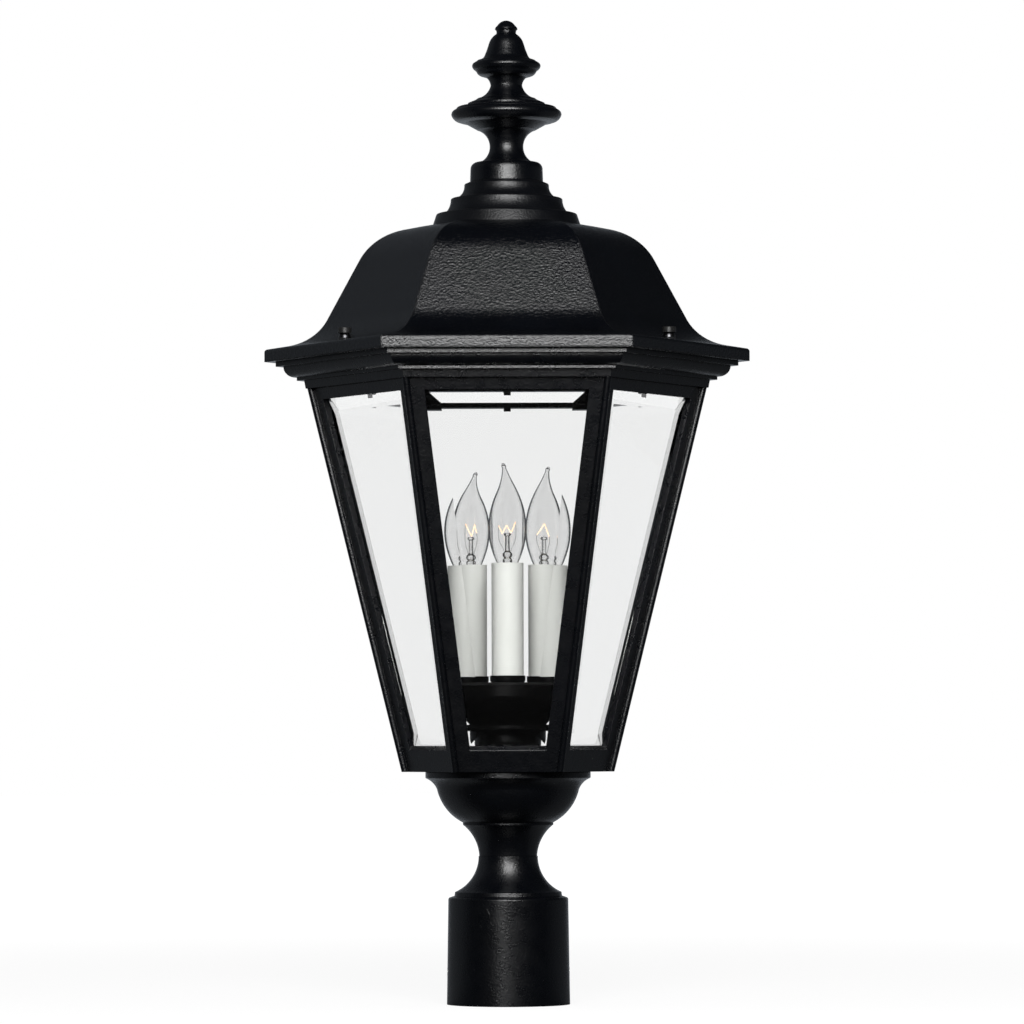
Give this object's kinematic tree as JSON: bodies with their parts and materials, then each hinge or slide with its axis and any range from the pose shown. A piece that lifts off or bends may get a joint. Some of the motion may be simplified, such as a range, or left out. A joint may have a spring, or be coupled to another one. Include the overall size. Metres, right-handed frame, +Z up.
{
  "type": "post top lantern",
  "caption": "Six-sided tapered outdoor lantern for a post top, with bevelled glass, swept roof, turned finial and a candle cluster inside.",
  "frame": {"origin": "centre of the post fitter's lower rim, where it comes down over the post", "axes": "+Z up along the post, +X to the right seen from the front, front face towards -Y"},
  "size_m": [0.3358, 0.2908, 0.6803],
  "materials": {
    "black_casting": "cast aluminium under a sandy satin black powder coat",
    "black_inner_metal": "spun aluminium, satin black",
    "clear_glass": "clear plate glass with a ground and polished bevel",
    "black_clip": "black spring steel",
    "zinc_steel": "zinc plated steel",
    "roof_fastener": "black finished steel, worn bright on the domed washer",
    "candle_sleeve": "off-white satin candle sleeve",
    "socket_phenolic": "dark phenolic",
    "brass": "pressed brass",
    "lead_jacket": "white insulated twin lead",
    "bulb_glass": "thin clear blown glass",
    "filament": "fine coiled tungsten wire"
  },
  "bodies": {
    "lantern": {"post_fitter": "black_casting", "neck_bell": "black_casting", "lantern_cage": "black_casting", "crown_ring": "black_casting", "pedestal_cup": "black_inner_metal", "flange_disc": "black_inner_metal", "cluster_bowl": "black_inner_metal", "cluster_cover": "black_inner_metal", "candle_cup_front": "black_inner_metal", "candle_cup_left": "black_inner_metal", "candle_cup_right": "black_inner_metal", "glass_pane_front": "clear_glass", "glass_pane_front_right": "clear_glass", "glass_pane_rear_right": "clear_glass", "glass_pane_rear": "clear_glass", "glass_pane_rear_left": "clear_glass", "glass_pane_front_left": "clear_glass", "glass_clips": "black_clip", "clip_screws": "black_clip", "center_nipple": "zinc_steel", "lower_locknut": "zinc_steel", "upper_locknut": "zinc_steel", "nipple_washer": "zinc_steel", "riser_tubes": "zinc_steel", "riser_nuts": "zinc_steel", "crown_screws": "zinc_steel", "candle_sleeve_front": "candle_sleeve", "candle_sleeve_left": "candle_sleeve", "candle_sleeve_right": "candle_sleeve", "lamp_socket_front": "socket_phenolic", "lamp_socket_left": "socket_phenolic", "lamp_socket_right": "socket_phenolic", "socket_shells": "brass", "socket_leads": "lead_jacket"},
    "roof": {"roof_shell": "black_casting", "roof_screw_washers": "roof_fastener", "stepped_base": "black_casting", "finial": "black_casting", "finial_stud": "zinc_steel", "stud_washer": "zinc_steel", "stud_nut": "zinc_steel"},
    "roof_screw_left": {"roof_screw_left": "roof_fastener"},
    "roof_screw_right": {"roof_screw_right": "roof_fastener"},
    "roof_screw_rear": {"roof_screw_rear": "roof_fastener"},
    "set_screw_left": {"set_screw_left": "zinc_steel"},
    "set_screw_right": {"set_screw_right": "zinc_steel"},
    "set_screw_rear": {"set_screw_rear": "zinc_steel"},
    "bulb_front": {"bulb_front_glass": "bulb_glass", "bulb_front_base": "brass", "bulb_front_stem": "bulb_glass", "bulb_front_filament": "filament"},
    "bulb_left": {"bulb_left_glass": "bulb_glass", "bulb_left_base": "brass", "bulb_left_stem": "bulb_glass", "bulb_left_filament": "filament"},
    "bulb_right": {"bulb_right_glass": "bulb_glass", "bulb_right_base": "brass", "bulb_right_stem": "bulb_glass", "bulb_right_filament": "filament"}
  },
  "joints": [
    {"name": "roof_lift", "type": "slide", "parent": "lantern", "child": "roof", "axis": [0, 0, 1], "range_m": [0, 0.15]},
    {"name": "roof_screw_left_travel", "type": "slide", "parent": "roof", "child": "roof_screw_left", "axis": [0, 0, 1], "range_m": [0, 0.012]},
    {"name": "roof_screw_right_travel", "type": "slide", "parent": "roof", "child": "roof_screw_right", "axis": [0, 0, 1], "range_m": [0, 0.012]},
    {"name": "roof_screw_rear_travel", "type": "slide", "parent": "roof", "child": "roof_screw_rear", "axis": [0, 0, 1], "range_m": [0, 0.012]},
    {"name": "set_screw_left_travel", "type": "slide", "parent": "lantern", "child": "set_screw_left", "axis": [1, 0, 0], "range_m": [0, 0.002]},
    {"name": "set_screw_right_travel", "type": "slide", "parent": "lantern", "child": "set_screw_right", "axis": [-1, 0, 0], "range_m": [0, 0.002]},
    {"name": "set_screw_rear_travel", "type": "slide", "parent": "lantern", "child": "set_screw_rear", "axis": [0, -1, 0], "range_m": [0, 0.002]},
    {"name": "bulb_front_pull", "type": "slide", "parent": "lantern", "child": "bulb_front", "axis": [0, 0, 1], "range_m": [0, 0.03]},
    {"name": "bulb_left_pull", "type": "slide", "parent": "lantern", "child": "bulb_left", "axis": [0, 0, 1], "range_m": [0, 0.03]},
    {"name": "bulb_right_pull", "type": "slide", "parent": "lantern", "child": "bulb_right", "axis": [0, 0, 1], "range_m": [0, 0.03]}
  ]
}
